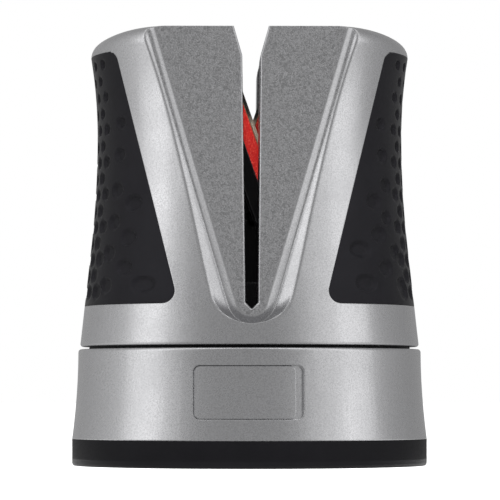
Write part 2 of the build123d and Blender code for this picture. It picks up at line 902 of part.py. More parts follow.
def arm_backing():
    return arm_strip(rail_far, backing_far, rail_foot_reach, arm_length)


def arm_abrasive():
    near, far = arm_side_gap + abrasive_inset, arm_far_side - abrasive_inset
    return arm_strip(backing_far, edge_offset, rail_foot_reach, arm_length, near, far)


def rail_screws():
    """The two screws that hold the front arm's rail."""
    return [rail_screw_place(reach) * small_screw() for reach in (rail_screw_first, rail_screw_last)]


def arm_bush():
    sleeve = arm_slab(Circle(bush_radius))
    return sleeve - arm_slab(Circle(pin_radius + running_gap), -overrun, overrun)


# Torsion springs


def leg_direction():
    angle = math.radians(spring_leg_lean)
    return -math.sin(angle), math.cos(angle)


def leg_root():
    angle = math.radians(spring_leg_lean)
    return spring_mean_radius * math.cos(angle), spring_mean_radius * math.sin(angle)


def peg_middle():
    """Middle of the lever's peg, resting on the upper side of the spring's long leg."""
    root, along = leg_root(), leg_direction()
    angle = math.radians(spring_leg_lean)
    off = spring_wire_radius + peg_radius + fitting_gap
    reach = spring_leg_length - 2 * peg_radius
    x = root[0] + along[0] * reach + math.cos(angle) * off
    z = root[1] + along[1] * reach + math.sin(angle) * off
    return x, z


def biarc(start, start_way, end, end_way):
    """Two tangent arcs from one point and direction to another."""
    gap = end - start
    ways = start_way + end_way
    rest = 4 - ways.dot(ways)
    reach = (-gap.dot(ways) + math.sqrt(gap.dot(ways) ** 2 + rest * gap.dot(gap))) / rest
    joint = (start + start_way * reach + end - end_way * reach) * 0.5
    middle_way = (end - end_way * reach) - (start + start_way * reach)
    return [TangentArc(start, joint, tangent=start_way), TangentArc(joint, end, tangent=middle_way)]


def spring_path():
    """Tail, coil and long leg of the front arm's spring, in the rear arm's lane."""
    turn = 2 * math.pi * spring_whole_turns + math.radians(90 + spring_leg_lean)
    climb = spring_pitch / (2 * math.pi)
    steps = 4 * spring_whole_turns + 2
    first_y = arm_side_gap + moving_gap + spring_wire_radius + climb * turn

    def at(step):
        angle = turn * step / steps
        x = pivot_x + spring_mean_radius * math.sin(angle)
        z = pivot_z - spring_mean_radius * math.cos(angle)
        way = Vector(math.cos(angle) * spring_mean_radius, -climb, math.sin(angle) * spring_mean_radius)
        return Vector(x, first_y - climb * angle, z), way.normalized()

    edges = []
    start, way = at(0)
    edges.append(Line(start - way * spring_tail_length, start))
    for step in range(steps):
        here, there = at(step), at(step + 1)
        edges += biarc(here[0], here[1], there[0], there[1])
    end, way = at(steps)
    edges.append(Line(end, end + way * spring_leg_length))
    return edges


def arm_spring():
    edges = spring_path()
    path = Wire(edges)
    start = edges[0] @ 0
    section = Plane(origin=start, z_dir=edges[0] % 0) * Circle(spring_wire_radius)
    return sweep(section, path=path)


def least_spring_gap():
    """Least clear distance between neighbouring turns."""
    return spring_pitch * math.cos(math.atan(spring_pitch / (2 * math.pi * spring_mean_radius))) - spring_wire


# All the pieces, each node a list of separate solids


def all_nodes():
    right = grip()
    nodes = {
        "foot_ring": [foot_ring()],
        "base_housing": [base_housing()],
        "base_deck": [base_deck()],
        "base_pillars": base_pillars(),
        "front_badge": [front_badge()],
        "bottom_plate": [bottom_plate()],
        "ballast_weight": [ballast_weight()],
        "bottom_plate_screws": bottom_plate_screws(),
        "base_screws": base_screws(),
        "tower_housing": [tower_housing()],
        "right_grip": [right],
        "left_grip": [mirror(right, Plane.YZ)],
        "arm_carrier": [arm_carrier()],
        "carrier_screws": carrier_screws(),
        "pin_clips": pin_clips(),
        "pivot_washers": pivot_washers(),
        "rest_stop_pads": stop_pads(rest_pad_x),
        "travel_stop_pads": stop_pads(travel_pad_x),
    }
    paired = {
        "pivot_pin": [pivot_pin()],
        "arm_spring": [arm_spring()],
        "arm_lever": [arm_lever()],
        "arm_rail": [arm_rail()],
        "arm_backing": [arm_backing()],
        "arm_abrasive": [arm_abrasive()],
        "rail_screws": rail_screws(),
        "arm_bush": [arm_bush()],
    }
    for name, solids in paired.items():
        for side, end in enumerate(("front", "rear")):
            nodes[f"{end}_{name}"] = [both_arms(solid)[side] for solid in solids]
    return nodes


def main():
    os.makedirs("parts", exist_ok=True)
    for name, shapes in all_nodes().items():
        solids = [solid for shape in shapes for solid in shape.solids()]
        export_step(Compound(children=solids) if len(solids) > 1 else solids[0], f"parts/{name}.step")
    print("least gap between spring turns", round(least_spring_gap(), 3))
    print("front arm pivot", round(pivot_x + carrier_shift, 4), round(pivot_z, 4))
    print("rear arm pivot", round(carrier_shift - pivot_x, 4), round(pivot_z, 4))


main()
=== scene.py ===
import bpy
import math
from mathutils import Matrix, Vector


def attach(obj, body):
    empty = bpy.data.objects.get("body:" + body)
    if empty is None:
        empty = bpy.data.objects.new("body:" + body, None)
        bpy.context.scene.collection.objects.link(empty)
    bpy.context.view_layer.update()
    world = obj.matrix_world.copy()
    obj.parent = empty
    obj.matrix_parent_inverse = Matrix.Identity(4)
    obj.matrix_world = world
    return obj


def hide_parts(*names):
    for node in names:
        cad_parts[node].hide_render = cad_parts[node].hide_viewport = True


bl_info = {
    "name": "Pull Through Knife Sharpener",
    "version": (1, 0, 0),
    "blender": (4, 5, 0),
    "location": "3D View > Sidebar > Sharpener",
    "description": "Finishes the pieces of a tabletop knife sharpener and lights them",
    "category": "Object",
}

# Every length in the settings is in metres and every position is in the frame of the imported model

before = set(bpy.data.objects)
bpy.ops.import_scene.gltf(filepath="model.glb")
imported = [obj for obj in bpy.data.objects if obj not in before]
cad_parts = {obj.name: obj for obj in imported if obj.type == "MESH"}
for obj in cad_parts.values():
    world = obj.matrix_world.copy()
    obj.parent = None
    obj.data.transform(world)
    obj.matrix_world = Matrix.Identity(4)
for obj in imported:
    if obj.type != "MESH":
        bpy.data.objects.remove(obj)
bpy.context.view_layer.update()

MM = 0.001

# The tower's outside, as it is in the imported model
WAIST_Z = 96.0 * MM
WAIST_RADIUS = 44.72 * MM
STRAIGHT_TOP = 64.0 * MM
LOWER_ARC = 290.0 * MM
UPPER_ARC = 145.0 * MM

# The V pocket's tip and its border seen from the front: half width at the tip's height, widening and reach
POCKET_TIP = 40.6 * MM
BORDER_X = 7.9 * MM
BORDER_SLOPE = 0.269
BORDER_REACH = 3.0 * MM

# The right grip's outline seen from the front, and how far round from the front its edges are
GRIP_LOW = 46.6 * MM
GRIP_HIGH = 119.5 * MM
GRIP_EDGE_X = 20.83 * MM
GRIP_LEAN = math.radians(14.0)
GRIP_FOOT_CORNER = 3.5 * MM
GRIP_TOP_CORNER = 2.9 * MM
GRIP_TURN = math.radians(64)
CORNER_CUTS = 7
GRIP_BEVEL = 0.3 * MM
GRIP_BEVEL_ANGLE = math.radians(50)
GRIP_SMOOTH_ANGLE = 35

# Dimples of the grips: degrees round from the front, height, width and height of the oval, in mm
LEFT_DIMPLES = (
    (40.2, 52.0, 9.4, 4.9), (50.4, 57.0, 7.2, 4.6), (49.4, 65.6, 7.2, 4.8), (47.9, 75.4, 7.4, 4.8),
    (58.0, 79.5, 6.0, 4.2), (58.8, 70.3, 6.2, 4.4), (57.0, 89.7, 5.4, 3.9), (56.6, 98.8, 4.8, 3.4),
    (60.6, 61.4, 6.6, 4.6), (61.0, 52.0, 7.0, 4.6),
)
RIGHT_DIMPLES = (
    (43.6, 52.5, 9.0, 4.9), (55.2, 57.0, 7.2, 4.6), (41.9, 62.0, 8.4, 4.8), (52.5, 66.6, 7.2, 4.7),
    (51.0, 76.0, 7.0, 4.6), (58.4, 71.5, 5.4, 4.0), (62.9, 61.8, 6.4, 4.5), (59.3, 81.0, 6.0, 4.2),
    (57.6, 89.5, 5.4, 3.9), (56.6, 98.5, 4.8, 3.4), (66.0, 52.5, 6.8, 4.6),
)

# Rows of dimples on the grips' sides: steps in mm and degrees, and width and height of the lowest and highest
SIDE_ROWS = 15
SIDE_ROW_STEP = 4.7
SIDE_ROW_START = 50.5
SIDE_COLUMNS = 4
SIDE_COLUMN_STEP = 9.4
SIDE_COLUMN_START = 68.0
SIDE_DIMPLE_FIRST = (6.6, 4.4)
SIDE_DIMPLE_LAST = (3.4, 2.5)

# How steeply a dimple's wall rises over its half width, and how it rounds off
DIMPLE_STEEPNESS = 3.2
DIMPLE_ROUNDING = 0.8

# Height below which the blade has worn the abrasive, and above which it is fresh
WORN_TOP = 99.5 * MM
FRESH_FOOT = 102.5 * MM

# Light tent: sizes, strengths, and its brightness by degrees from the back round by the left, front and right
TENT_RADIUS = 1.8
TENT_HEIGHT = 3.6
TENT_SIDES = 128
TENT_FOOT = 2 * MM
LID_START = 0.45 * TENT_HEIGHT
TENT_PEAK = 1.1
LID_PEAK = 2.0
TENT_LEVELS = (
    (-180, 0.40), (-140, 0.42), (-118, 0.51), (-98, 0.64), (-82, 0.78), (-68, 0.93), (-56, 0.85), (-40, 0.42),
    (-24, 0.37), (18, 0.37), (31, 0.47), (44, 0.84), (55, 0.92), (71, 0.70), (87, 0.56), (106, 0.43),
    (130, 0.36), (180, 0.38),
)

# Cast metal: sizes of its clouds, drag marks and fine grain, tones as shares of its colour, and their relief
CLOUD_SIZE = 12 * MM
DRAG_SIZE = 2.4 * MM
FINE_SIZE = 0.4 * MM
CLOUD_TONE = 0.86
FINE_TONE = 0.74
CLOUD_ROUGHNESS = 0.16
FINE_ROUGHNESS = 0.08
DRAG_HEIGHT = 0.5
FINE_HEIGHT = 0.06
FINE_SPOTS = (0.4, 0.7)

# Sand-cast panels: how squarely a face looks to the front, from no sand to full, and what the sand adds, with
# its pits darkened as painted shade
SAND_FACING = (0.9, 0.95)
SAND_SIDEWAYS = (0.016, 0.008)
SAND_ROUGHNESS = 0.14
SAND_HEIGHT = 3.0
SAND_COVER = 0.7
PIT_SHADE_TONE = 0.5
PIT_SHADE_SHARE = 0.85

# Plain metals: colour, roughness, size of the streaks and their stretch along x, y and z
EVEN = (1.0, 1.0, 1.0)
PLAIN_METALS = {
    # The deck's near-black colour is painted shade for the gap between tower and base
    "raw_casting": ((0.03, 0.03, 0.032), 0.6, 0.8 * MM, EVEN),
    "backing_brass": ((0.55, 0.42, 0.26), 0.35, 0.6 * MM, (1.0, 1.0, 0.1)),
    "bush_bronze": ((0.45, 0.3, 0.16), 0.45, 0.2 * MM, EVEN),
    "plated_steel": ((0.5, 0.5, 0.51), 0.36, 0.5 * MM, EVEN),
    "spring_wire": ((0.42, 0.42, 0.43), 0.3, 0.15 * MM, EVEN),
    "blacked_steel": ((0.016, 0.016, 0.017), 0.5, 0.4 * MM, EVEN),
    "bottom_plate_steel": ((0.42, 0.42, 0.43), 0.4, 1.2 * MM, (1.0, 0.08, 1.0)),
    "screw_steel": ((0.5, 0.5, 0.51), 0.34, 0.5 * MM, EVEN),
    "ballast_iron": ((0.16, 0.155, 0.15), 0.62, 1.0 * MM, EVEN),
}

# Rubber: size and tone of its bloom, then colour, roughness and grain. The grips' colour is a setting
BLOOM_SIZE = 9 * MM
BLOOM_TONE = 1.9
FOOT_RUBBER = ((0.0042, 0.0041, 0.0048), 0.42, 0.5 * MM)
PAD_RUBBER = ((0.012, 0.012, 0.012), 0.6, 0.4 * MM)
GRIP_ROUGHNESS = 0.3
GRIP_GRAIN = 0.5 * MM

# Plastic: its colour, the colour, width and cosines of the highlight painted along its edges, and the size
# and tone of its flow marks
BLACK_PLASTIC = (0.0016, 0.0016, 0.0018)
PAINTED_EDGE_HIGHLIGHT = (0.05, 0.05, 0.052)
EDGE_HIGHLIGHT_WIDTH = 0.5 * MM
EDGE_TURN = (0.97, 0.85)
FLOW_SIZE = 2.5 * MM
FLOW_TONE = 1.7

# Red rails: size and tone of their dark clouds, and how light the front and the rear one are; the rear one is
# darkened as painted shade
DEEP_SIZE = 1.6 * MM
DEEP_TONE = 0.45
FRONT_LIGHT = 1.0
REAR_PAINTED_SHADE = 0.6

# Abrasive that the blade hasn't worn: binder and grains. Tones of the same in the worn abrasive
FRESH_BINDER = (0.012, 0.011, 0.01)
FRESH_GRAINS = (0.11, 0.1, 0.09)
WORN_BINDER_TONE = 0.75
WORN_GRAIN_TONE = 1.5

# Lamps: degrees from the front, distance and height, size, setting of the power, and if reflections see it
LAMPS = (
    ("left_lamp", -74, 1.1, 0.45, (0.55, 1.3), "lamp_power", True),
    ("right_lamp", 74, 1.1, 0.45, (0.55, 1.3), "lamp_power", True),
    ("front_lamp", -1, 1.3, 0.16, (0.3, 0.3), "front_power", False),
    ("top_lamp", 0, 0.75, 1.1, (0.4, 0.4), "top_power", False),
)

# Height that the lamps are aimed at
LAMP_AIM = 0.07

# Strength of the world where it isn't seen directly, and the floor's glow where it is, size and colour
WORLD_PLAIN = 0.4
FLOOR_GLOW = 0.85
FLOOR_SIZE = 12.0
FLOOR_COLOR = (0.8, 0.8, 0.8, 1.0)

# Camera: width of the sensor in mm and how far it sees
SENSOR_WIDTH = 36.0
SIGHT = 20.0


# Settings that a user would change


class CastingSettings(bpy.types.PropertyGroup):
    metal_color: bpy.props.FloatVectorProperty(
        name="Metal", description="Colour of the cast metal", subtype="COLOR", size=3, min=0.0, max=1.0,
        default=(0.66, 0.66, 0.675))
    metal_roughness: bpy.props.FloatProperty(
        name="Metal roughness", description="Roughness of the smooth cast metal", min=0.0, max=1.0,
        default=0.27)
    pebble_size: bpy.props.FloatProperty(
        name="Pebble size", description="Size of the pebbles in the sand-cast panels", unit="LENGTH",
        default=0.75 * MM)
    pebble_depth: bpy.props.FloatProperty(
        name="Pebble depth", description="Height of the pebbles in the sand-cast panels", unit="LENGTH",
        default=0.045 * MM)
    edge_round: bpy.props.FloatProperty(
        name="Edge round", description="Radius that the casting's edges look rounded by", unit="LENGTH",
        default=0.45 * MM)
    border_round: bpy.props.FloatProperty(
        name="Border round", description="Radius that the pocket's border looks rounded by", unit="LENGTH",
        default=1.5 * MM)


class GripSettings(bpy.types.PropertyGroup):
    rubber_color: bpy.props.FloatVectorProperty(
        name="Rubber", description="Colour of the grips' rubber", subtype="COLOR", size=3, min=0.0, max=1.0,
        default=(0.0068, 0.0066, 0.0078))
    thickness: bpy.props.FloatProperty(
        name="Thickness", description="Thickness of the grips' skin", unit="LENGTH", default=2.6 * MM)
    dimple_depth: bpy.props.FloatProperty(
        name="Dimple depth", description="Depth of the dimples", unit="LENGTH", default=0.85 * MM)
    mesh_step: bpy.props.FloatProperty(
        name="Mesh step", description="Distance between the mesh's lines", unit="LENGTH",
        default=0.46 * MM)


class ArmSettings(bpy.types.PropertyGroup):
    rail_color: bpy.props.FloatVectorProperty(
        name="Rail", description="Colour of the arms' rails", subtype="COLOR", size=3, min=0.0, max=1.0,
        default=(0.52, 0.010, 0.010))
    abrasive_color: bpy.props.FloatVectorProperty(
        name="Abrasive", description="Colour of the abrasive where the blade has worn it", subtype="COLOR",
        size=3, min=0.0, max=1.0, default=(0.23, 0.19, 0.15))


class StageSettings(bpy.types.PropertyGroup):
    camera_place: bpy.props.FloatVectorProperty(
        name="Camera", description="Place of the camera", subtype="TRANSLATION", unit="LENGTH", size=3,
        default=(-0.015, -1.0, 0.0212))
    focal_length: bpy.props.FloatProperty(
        name="Focal length", description="Focal length in millimetres on a 36 mm sensor", default=244.8)
    camera_tilt: bpy.props.FloatProperty(
        name="Tilt", description="How far the camera looks up", subtype="ANGLE", default=math.radians(2.408))
    camera_turn: bpy.props.FloatProperty(
        name="Turn", description="How far the camera looks to the right", subtype="ANGLE",
        default=math.radians(0.868))
    lamp_power: bpy.props.FloatProperty(
        name="Lamp power", description="Power of each side lamp, in watts", min=0.0, default=1.2)
    front_power: bpy.props.FloatProperty(
        name="Front power", description="Power of the front lamp, in watts", min=0.0, default=16.0)
    top_power: bpy.props.FloatProperty(
        name="Top power", description="Power of the lamp above the front, in watts", min=0.0, default=14.0)


# Meshes


def flank_radius(z):
    """Radius of the tower's outside at a height."""
    if z >= WAIST_Z:
        return WAIST_RADIUS + UPPER_ARC - math.sqrt(UPPER_ARC**2 - (z - WAIST_Z) ** 2)
    bend = max(z, STRAIGHT_TOP)
    radius = WAIST_RADIUS + LOWER_ARC - math.sqrt(LOWER_ARC**2 - (bend - WAIST_Z) ** 2)
    slope = (WAIST_Z - STRAIGHT_TOP) / math.sqrt(LOWER_ARC**2 - (WAIST_Z - STRAIGHT_TOP) ** 2)
    return radius + slope * (bend - z)


def clear_selection():
    """Back to object mode with nothing selected."""
    if bpy.context.mode != "OBJECT":
        bpy.ops.object.mode_set(mode="OBJECT")
    bpy.ops.object.select_all(action="DESELECT")


def make_active(obj):
    clear_selection()
    obj.select_set(True)
    bpy.context.view_layer.objects.active = obj


def finish_mode(name):
    """Leave edit mode and name the new piece and its mesh."""
    bpy.ops.object.mode_set(mode="OBJECT")
    obj = bpy.context.object
    obj.name = name
    obj.data.name = name
    return obj


def draw_chain(points):
    """A chain of edges from one vertex that is extruded from point to point, left in edit mode."""
    clear_selection()
    bpy.ops.mesh.primitive_plane_add(size=MM)
    bpy.ops.object.mode_set(mode="EDIT")
    bpy.ops.mesh.select_all(action="SELECT")
    bpy.ops.mesh.merge(type="CENTER")
    bpy.ops.transform.translate(value=points[0])
    for here, there in zip(points, points[1:]):
        step = Vector(there) - Vector(here)
        bpy.ops.mesh.extrude_region_move(TRANSFORM_OT_translate={"value": step})


def cut_away(place, normal):
    """Bisect the whole mesh and drop the side that the normal points away from."""
    bpy.ops.mesh.select_all(action="SELECT")
    bpy.ops.mesh.bisect(plane_co=place, plane_no=normal, clear_inner=True)


def add_modifier(obj, kind, **settings):
    """Add a modifier, set it up and apply it."""
    make_active(obj)
    modifier = obj.modifiers.new(kind.title(), kind)
    for key, value in settings.items():
        setattr(modifier, key, value)
    bpy.ops.object.modifier_apply(modifier=modifier.name)


def smooth(obj, degrees):
    """Smooth shading with sharp edges where the faces turn by more than an angle."""
    make_active(obj)
    bpy.ops.object.shade_smooth_by_angle(angle=math.radians(degrees))


# Materials


def shade(color, share):
    """A colour times a share."""
    return tuple(share * c for c in color)


def new_group(name, inputs, outputs):
    """A shader node group with named numbers in and out: its nodes, links, input and output."""
    group = bpy.data.node_groups.new(name, "ShaderNodeTree")
    for label, default in inputs:
        socket = group.interface.new_socket(name=label, in_out="INPUT", socket_type="NodeSocketFloat")
        socket.default_value = default
    for label in outputs:
        group.interface.new_socket(name=label, in_out="OUTPUT", socket_type="NodeSocketFloat")
    nodes = group.nodes
    return nodes, group.links, nodes.new("NodeGroupInput"), nodes.new("NodeGroupOutput")


def math_node(nodes, links, operation, first, second=None, third=None, clamp=False):
    """A Math node whose inputs are numbers or sockets."""
    node = nodes.new("ShaderNodeMath")
    node.operation = operation
    node.use_clamp = clamp
    for socket, value in zip(node.inputs, (first, second, third)):
        if value is None:
            continue
        if isinstance(value, (int, float)):
            socket.default_value = value
        else:
            links.new(value, socket)
    return node.outputs[0]


def build_grain_group():
    """Fine rounded grain for rubber and plastic: a height and a mask."""
    nodes, links, ins, outs = new_group(
        "surface_grain", (("Size", 0.5), ("Roughness", 0.5)), ("Height", "Mask"))
    place = nodes.new("ShaderNodeTexCoord")
    noise = nodes.new("ShaderNodeTexNoise")
    noise.inputs["Detail"].default_value = 3.0
    links.new(place.outputs["Object"], noise.inputs["Vector"])
    scale = math_node(nodes, links, "DIVIDE", 1.0 / MM, ins.outputs["Size"])
    links.new(scale, noise.inputs["Scale"])
    links.new(ins.outputs["Roughness"], noise.inputs["Roughness"])
    cells = nodes.new("ShaderNodeTexVoronoi")
    cells.feature = "SMOOTH_F1"
    links.new(place.outputs["Object"], cells.inputs["Vector"])
    links.new(scale, cells.inputs["Scale"])
    domes = math_node(nodes, links, "SUBTRACT", 1.0, cells.outputs["Distance"], clamp=True)
    height = math_node(nodes, links, "MULTIPLY_ADD", noise.outputs["Fac"], 0.6, domes)
    links.new(height, outs.inputs["Height"])
    mask = math_node(nodes, links, "MULTIPLY_ADD", height, 2.2, -1.75, clamp=True)
    links.new(mask, outs.inputs["Mask"])


def build_sand_group():
    """Irregular short grains of a sand-cast face: a height, and a mask of its pits that is used to darken
    them as painted shade.
    """
    nodes, links, ins, outs = new_group("sand_grain", (("Size", 0.9),), ("Height", "Pits"))
    place = nodes.new("ShaderNodeTexCoord")
    scale = math_node(nodes, links, "DIVIDE", 1.0 / MM, ins.outputs["Size"])
    heights = []
    for share, warp in ((1.0, 1.6), (2.3, 0.7)):
        noise = nodes.new("ShaderNodeTexNoise")
        noise.inputs["Detail"].default_value = 2.0
        noise.inputs["Roughness"].default_value = 0.55
        noise.inputs["Distortion"].default_value = warp
        links.new(place.outputs["Object"], noise.inputs["Vector"])
        links.new(math_node(nodes, links, "MULTIPLY", scale, share), noise.inputs["Scale"])
        heights.append(noise.outputs["Fac"])
    height = math_node(nodes, links, "MULTIPLY_ADD", heights[1], 0.4, heights[0])
    links.new(height, outs.inputs["Height"])
    pits = math_node(nodes, links, "MULTIPLY_ADD", height, -5.0, 3.9, clamp=True)
    links.new(pits, outs.inputs["Pits"])


def build_speckle_group():
    """Sparse small grains, for grit, and for glints painted on the red plastic."""
    nodes, links, ins, outs = new_group("speckle", (("Size", 0.3), ("Share", 0.3)), ("Mask",))
    place = nodes.new("ShaderNodeTexCoord")
    noise = nodes.new("ShaderNodeTexNoise")
    noise.inputs["Detail"].default_value = 1.5
    noise.inputs["Roughness"].default_value = 0.65
    links.new(place.outputs["Object"], noise.inputs["Vector"])
    links.new(math_node(nodes, links, "DIVIDE", 1.0 / MM, ins.outputs["Size"]), noise.inputs["Scale"])
    level = math_node(nodes, links, "ADD", noise.outputs["Fac"], ins.outputs["Share"])
    mask = math_node(nodes, links, "MULTIPLY_ADD", level, 6.0, -5.0, clamp=True)
    links.new(mask, outs.inputs["Mask"])


class Finish:
    """A new material with its Principled shader and short ways to add to it."""

    def __init__(self, name):
        self.material = bpy.data.materials.new(name)
        self.material.use_nodes = True
        self.nodes = self.material.node_tree.nodes
        self.links = self.material.node_tree.links
        self.shader = self.nodes["Principled BSDF"]

    def set(self, **values):
        for key, value in values.items():
            self.shader.inputs[key.replace("_", " ")].default_value = value
        return self

    def group(self, name, **values):
        node = self.nodes.new("ShaderNodeGroup")
        node.node_tree = bpy.data.node_groups[name]
        for key, value in values.items():
            node.inputs[key].default_value = value
        return node

    def math(self, operation, first, second=None, third=None, clamp=False):
        return math_node(self.nodes, self.links, operation, first, second, third, clamp)

    def mix(self, factor, first, second):
        """Mix of two colours or sockets."""
        node = self.nodes.new("ShaderNodeMix")
        node.data_type = "RGBA"
        node.clamp_factor = True
        for socket, value in ((node.inputs[0], factor), (node.inputs[6], first), (node.inputs[7], second)):
            if hasattr(value, "is_output"):
                self.links.new(value, socket)
            elif socket == node.inputs[0]:
                socket.default_value = value
            else:
                socket.default_value = (*value[:3], 1.0)
        return node.outputs[2]

    def between(self, mask, low, high):
        """A number between two by a mask."""
        return self.math("MULTIPLY_ADD", mask, high - low, low)

    def ramp(self, value, start, end):
        """0 up to a start, which may be above the end, and 1 from the end on."""
        node = self.nodes.new("ShaderNodeMapRange")
        node.inputs["From Min"].default_value = start
        node.inputs["From Max"].default_value = end
        self.links.new(value, node.inputs["Value"])
        return node.outputs["Result"]

    def parts_of(self, kind, output):
        """A vector that a new node gives, as three numbers."""
        source = self.nodes.new(kind)
        parts = self.nodes.new("ShaderNodeSeparateXYZ")
        self.links.new(source.outputs[output], parts.inputs[0])
        return parts.outputs

    def noise(self, size, detail=3.0, stretch=EVEN):
        place = self.nodes.new("ShaderNodeTexCoord")
        mapping = self.nodes.new("ShaderNodeMapping")
        mapping.inputs["Scale"].default_value = stretch
        noise = self.nodes.new("ShaderNodeTexNoise")
        noise.inputs["Scale"].default_value = 1.0 / size
        noise.inputs["Detail"].default_value = detail
        self.links.new(place.outputs["Object"], mapping.inputs["Vector"])
        self.links.new(mapping.outputs["Vector"], noise.inputs["Vector"])
        return noise.outputs["Fac"]

    def rounded_normal(self, radius, samples):
        """Normal of the surface with its edges rounded by a radius, which is a number or a socket."""
        bevel = self.nodes.new("ShaderNodeBevel")
        bevel.samples = samples
        if isinstance(radius, float):
            bevel.inputs["Radius"].default_value = radius
        else:
            self.links.new(radius, bevel.inputs["Radius"])
        return bevel.outputs["Normal"]

    def near_edge(self, reach):
        """1 on edges, 0 where the surface is flat for a distance."""
        geometry = self.nodes.new("ShaderNodeNewGeometry")
        dot = self.nodes.new("ShaderNodeVectorMath")
        dot.operation = "DOT_PRODUCT"
        self.links.new(self.rounded_normal(reach, samples=4), dot.inputs[0])
        self.links.new(geometry.outputs["True Normal"], dot.inputs[1])
        return self.ramp(dot.outputs["Value"], *EDGE_TURN)

    def bump(self, height, distance, strength=1.0, edge=None):
        """Bump of a height, over edges that look rounded by a radius."""
        node = self.nodes.new("ShaderNodeBump")
        node.inputs["Distance"].default_value = distance
        node.inputs["Strength"].default_value = strength
        self.links.new(height, node.inputs["Height"])
        if edge is not None:
            self.links.new(self.rounded_normal(edge, samples=8), node.inputs["Normal"])
        self.links.new(node.outputs["Normal"], self.shader.inputs["Normal"])

    def feed(self, name, socket):
        self.links.new(socket, self.shader.inputs[name])


def sand_mask(finish):
    """1 on the tower's flat panels above the pocket's tip, which are left as they came from the sand."""
    normal = finish.parts_of("ShaderNodeNewGeometry", "True Normal")
    facing = finish.ramp(finish.math("ABSOLUTE", normal[1]), *SAND_FACING)
    square = finish.ramp(finish.math("ABSOLUTE", normal[0]), *SAND_SIDEWAYS)
    height = finish.parts_of("ShaderNodeTexCoord", "Object")[2]
    above_tip = finish.ramp(height, POCKET_TIP, POCKET_TIP + MM)
    return finish.math("MULTIPLY", finish.math("MULTIPLY", facing, square), above_tip)


def border_radius(finish, settings):
    """Radius that the tower's edges look rounded by, which is larger along the pocket's border."""
    place = finish.parts_of("ShaderNodeTexCoord", "Object")
    out = finish.math("MULTIPLY_ADD", place[2], -BORDER_SLOPE, finish.math("ABSOLUTE", place[0]))
    away = finish.math("ABSOLUTE", finish.math("SUBTRACT", out, BORDER_X - BORDER_SLOPE * POCKET_TIP))
    near = finish.ramp(away, BORDER_REACH, BORDER_REACH / 2)
    more = settings.border_round - settings.edge_round
    return finish.math("MULTIPLY_ADD", near, more, settings.edge_round)


def cast_metal(name, panels):
    """Satin cast metal with soft edges, and with sand-cast panels on the tower."""
    settings = bpy.context.scene.sharpener_casting
    metal = tuple(settings.metal_color)
    finish = Finish(name).set(Metallic=1.0)
    cloud = finish.noise(CLOUD_SIZE)
    drag = finish.noise(DRAG_SIZE, stretch=(1.0, 1.0, 0.3))
    fine = finish.noise(FINE_SIZE, detail=2.0)
    tone = finish.mix(cloud, metal, shade(metal, CLOUD_TONE))
    tone = finish.mix(finish.ramp(fine, *FINE_SPOTS), tone, shade(metal, FINE_TONE))
    smoothest = settings.metal_roughness - CLOUD_ROUGHNESS / 2 - FINE_ROUGHNESS / 2
    rough = finish.math("MULTIPLY_ADD", cloud, CLOUD_ROUGHNESS, smoothest)
    rough = finish.math("MULTIPLY_ADD", fine, FINE_ROUGHNESS, rough)
    height = finish.math("MULTIPLY_ADD", drag, DRAG_HEIGHT, finish.math("MULTIPLY", fine, FINE_HEIGHT))
    edge = settings.edge_round
    if panels:
        flat = sand_mask(finish)
        edge = border_radius(finish, settings)
        grain = finish.group("sand_grain", Size=settings.pebble_size / MM)
        pits = finish.math("MULTIPLY", grain.outputs["Pits"], flat)
        # Painted shade darkens the pits of the sand
        tone = finish.mix(finish.math("MULTIPLY", pits, PIT_SHADE_SHARE), tone, shade(metal, PIT_SHADE_TONE))
        rough = finish.math("MULTIPLY_ADD", flat, SAND_ROUGHNESS, rough)
        sand = finish.math("MULTIPLY", grain.outputs["Height"], flat)
        sand = finish.math("MULTIPLY", sand, SAND_HEIGHT)
        smooth_share = finish.math("MULTIPLY_ADD", flat, -SAND_COVER, 1.0)
        height = finish.math("MULTIPLY_ADD", height, smooth_share, sand)
    finish.feed("Base Color", tone)
    finish.feed("Roughness", rough)
    finish.bump(height, settings.pebble_depth, edge=edge)
    return finish.material


def moulded_rubber(name, color, roughness, grain_size):
    """Charcoal rubber with a faint bloom and a fine moulded grain."""
    finish = Finish(name).set(Specular_IOR_Level=0.06)
    grain = finish.group("surface_grain", Size=grain_size / MM, Roughness=0.5)
    bloom = finish.math("MULTIPLY", finish.noise(BLOOM_SIZE, detail=4.0), 0.6)
    finish.feed("Base Color", finish.mix(bloom, color, shade(color, BLOOM_TONE)))
    finish.feed("Roughness", finish.between(grain.outputs["Mask"], roughness, roughness + 0.12))
    finish.bump(grain.outputs["Height"], distance=0.02 * MM, strength=0.5)
    return finish.material


def moulded_plastic(name):
    """Black glass-filled plastic with faint flow marks and a highlight painted along its edges."""
    finish = Finish(name).set(Specular_IOR_Level=0.2)
    marks = finish.noise(FLOW_SIZE, detail=4.0, stretch=(1.0, 1.0, 0.25))
    tone = finish.mix(marks, BLACK_PLASTIC, shade(BLACK_PLASTIC, FLOW_TONE))
    # The edges are lightened as a painted highlight
    finish.feed("Base Color", finish.mix(finish.near_edge(EDGE_HIGHLIGHT_WIDTH), tone, PAINTED_EDGE_HIGHLIGHT))
    finish.feed("Roughness", finish.between(marks, 0.32, 0.52))
    grain = finish.group("surface_grain", Size=0.3, Roughness=0.5)
    finish.bump(grain.outputs["Height"], distance=0.012 * MM, strength=0.6)
    return finish.material


